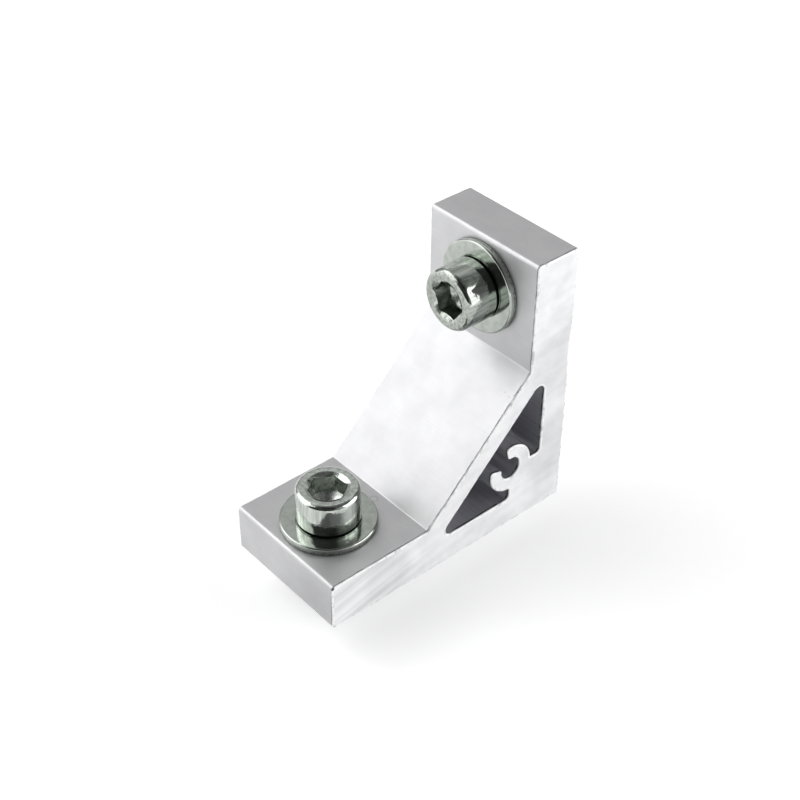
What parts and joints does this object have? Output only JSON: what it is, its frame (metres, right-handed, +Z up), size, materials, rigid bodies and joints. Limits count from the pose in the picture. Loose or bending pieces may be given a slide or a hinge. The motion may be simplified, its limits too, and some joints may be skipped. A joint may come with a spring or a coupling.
{
  "type": "corner bracket",
  "caption": "Right-angle bracket sawn from an aluminium extrusion: a diagonal web over a hollow cavity with a C-shaped screw port, and a socket screw on a flat washer in each leg.",
  "frame": {"origin": "outer corner of the two legs, where the planes of both mounting faces meet, at the middle of the sawn width", "axes": "-X along the foot, +Z up the riser, +Y across the sawn width. The foot's mounting face looks down (-Z) and the riser's mounting face looks along +X"},
  "size_m": [0.0543, 0.0234, 0.0543],
  "materials": {
    "bracket_aluminium": "extruded aluminium, matt and clear, with bare sawn ends and drilled holes",
    "screw_zinc": "bright zinc-plated steel, smooth",
    "washer_zinc": "bright zinc-plated steel, stamped"
  },
  "bodies": {
    "root": {"bracket": "bracket_aluminium", "foot_washer": "washer_zinc", "foot_screw": "screw_zinc", "riser_washer": "washer_zinc", "riser_screw": "screw_zinc"}
  },
  "joints": []
}
